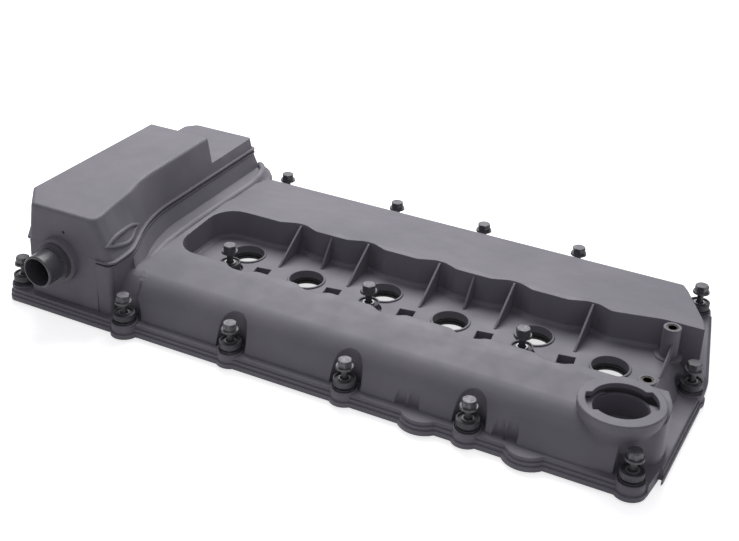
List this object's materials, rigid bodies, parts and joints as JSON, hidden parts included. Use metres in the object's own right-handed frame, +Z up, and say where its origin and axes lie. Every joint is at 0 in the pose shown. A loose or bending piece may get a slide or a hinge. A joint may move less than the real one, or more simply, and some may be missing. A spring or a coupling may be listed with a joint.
{
  "type": "engine valve cover",
  "caption": "Moulded plastic valve cover with a coil well between two banks, oil filler neck, breather box with hose spigot and captive flange bolts in rubber grommets.",
  "frame": {"origin": "on the axis of the first coil bore, in the plane of the gasket's underside, on which the cover rests", "axes": "+X along the engine from the breather box to the oil filler, +Y from the front bank to the rear bank, +Z up, out of the cylinder head"},
  "size_m": [0.561, 0.304, 0.092],
  "materials": {
    "nylon_moulding": "satin, fine grain",
    "spigot_plastic": "semi gloss",
    "seal_rubber": "matt",
    "grommet_rubber": "matt",
    "bolt_steel": "zinc flake, dull",
    "sleeve_steel": "plain",
    "insert_brass": "turned"
  },
  "bodies": {
    "cover": {"cover_shell": "nylon_moulding", "separator_housing": "nylon_moulding", "separator_labyrinth": "nylon_moulding", "breather_spigot": "spigot_plastic", "spigot_seal": "seal_rubber", "perimeter_gasket": "seal_rubber", "coil_seal_1": "seal_rubber", "coil_seal_2": "seal_rubber", "coil_seal_3": "seal_rubber", "coil_seal_4": "seal_rubber", "coil_seal_5": "seal_rubber", "coil_seal_6": "seal_rubber", "threaded_inserts": "insert_brass", "bolt_grommets": "grommet_rubber", "bolt_sleeves": "sleeve_steel"},
    "front_corner_bolt": {"bolt_front_corner": "bolt_steel"},
    "front_1_bolt": {"bolt_front_1": "bolt_steel"},
    "front_2_bolt": {"bolt_front_2": "bolt_steel"},
    "front_3_bolt": {"bolt_front_3": "bolt_steel"},
    "front_4_bolt": {"bolt_front_4": "bolt_steel"},
    "front_5_bolt": {"bolt_front_5": "bolt_steel"},
    "end_bolt": {"bolt_end": "bolt_steel"},
    "rear_5_bolt": {"bolt_rear_5": "bolt_steel"},
    "rear_4_bolt": {"bolt_rear_4": "bolt_steel"},
    "rear_3_bolt": {"bolt_rear_3": "bolt_steel"},
    "rear_2_bolt": {"bolt_rear_2": "bolt_steel"},
    "rear_1_bolt": {"bolt_rear_1": "bolt_steel"},
    "rear_corner_bolt": {"bolt_rear_corner": "bolt_steel"},
    "well_1_bolt": {"bolt_well_1": "bolt_steel"},
    "well_2_bolt": {"bolt_well_2": "bolt_steel"},
    "well_3_bolt": {"bolt_well_3": "bolt_steel"}
  },
  "joints": [
    {"name": "front_corner_bolt_slide", "type": "slide", "parent": "cover", "child": "front_corner_bolt", "axis": [0, 0, 1], "range_m": [-0.009, 0]},
    {"name": "front_1_bolt_slide", "type": "slide", "parent": "cover", "child": "front_1_bolt", "axis": [0, 0, 1], "range_m": [-0.009, 0]},
    {"name": "front_2_bolt_slide", "type": "slide", "parent": "cover", "child": "front_2_bolt", "axis": [0, 0, 1], "range_m": [-0.009, 0]},
    {"name": "front_3_bolt_slide", "type": "slide", "parent": "cover", "child": "front_3_bolt", "axis": [0, 0, 1], "range_m": [-0.009, 0]},
    {"name": "front_4_bolt_slide", "type": "slide", "parent": "cover", "child": "front_4_bolt", "axis": [0, 0, 1], "range_m": [-0.009, 0]},
    {"name": "front_5_bolt_slide", "type": "slide", "parent": "cover", "child": "front_5_bolt", "axis": [0, 0, 1], "range_m": [-0.009, 0]},
    {"name": "end_bolt_slide", "type": "slide", "parent": "cover", "child": "end_bolt", "axis": [0, 0, 1], "range_m": [-0.009, 0]},
    {"name": "rear_5_bolt_slide", "type": "slide", "parent": "cover", "child": "rear_5_bolt", "axis": [0, 0, 1], "range_m": [-0.009, 0]},
    {"name": "rear_4_bolt_slide", "type": "slide", "parent": "cover", "child": "rear_4_bolt", "axis": [0, 0, 1], "range_m": [-0.009, 0]},
    {"name": "rear_3_bolt_slide", "type": "slide", "parent": "cover", "child": "rear_3_bolt", "axis": [0, 0, 1], "range_m": [-0.009, 0]},
    {"name": "rear_2_bolt_slide", "type": "slide", "parent": "cover", "child": "rear_2_bolt", "axis": [0, 0, 1], "range_m": [-0.009, 0]},
    {"name": "rear_1_bolt_slide", "type": "slide", "parent": "cover", "child": "rear_1_bolt", "axis": [0, 0, 1], "range_m": [-0.009, 0]},
    {"name": "rear_corner_bolt_slide", "type": "slide", "parent": "cover", "child": "rear_corner_bolt", "axis": [0, 0, 1], "range_m": [-0.009, 0]},
    {"name": "well_1_bolt_slide", "type": "slide", "parent": "cover", "child": "well_1_bolt", "axis": [0, 0, 1], "range_m": [-0.009, 0]},
    {"name": "well_2_bolt_slide", "type": "slide", "parent": "cover", "child": "well_2_bolt", "axis": [0, 0, 1], "range_m": [-0.009, 0]},
    {"name": "well_3_bolt_slide", "type": "slide", "parent": "cover", "child": "well_3_bolt", "axis": [0, 0, 1], "range_m": [-0.009, 0]}
  ]
}
